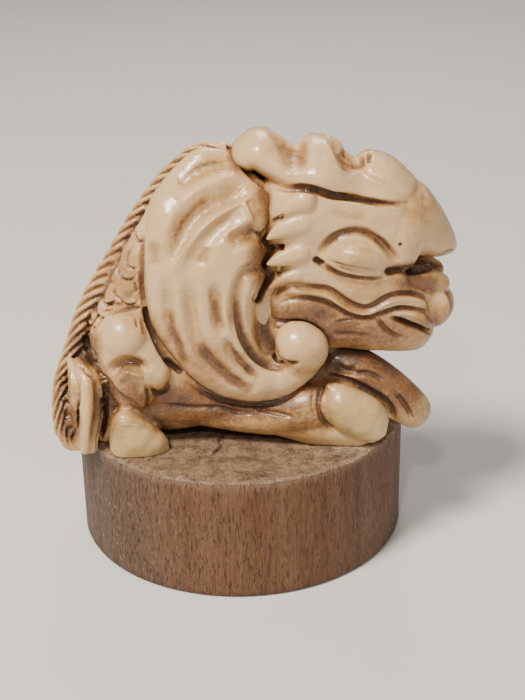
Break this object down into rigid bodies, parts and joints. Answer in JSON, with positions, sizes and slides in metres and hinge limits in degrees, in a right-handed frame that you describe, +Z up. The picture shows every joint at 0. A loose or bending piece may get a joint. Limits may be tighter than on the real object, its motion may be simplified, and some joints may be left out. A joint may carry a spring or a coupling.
{
  "type": "okimono",
  "caption": "Small carved desk ornament of a crouching scaled beast with a swept mane and cloven hooves, resting on a plain round block of walnut.",
  "frame": {"origin": "centre of the round stand's underside", "axes": "+Z up, +X the way the beast's head points, -Y the side of the carving that faces the viewer"},
  "size_m": [0.0471, 0.04, 0.0508],
  "materials": {
    "kirin_figure": "cast resin in imitation of ivory, with a brown stain in the cuts",
    "wooden_stand": "bare sawn walnut"
  },
  "bodies": {
    "root": {"kirin_figure": "kirin_figure", "wooden_stand": "wooden_stand"}
  },
  "joints": []
}
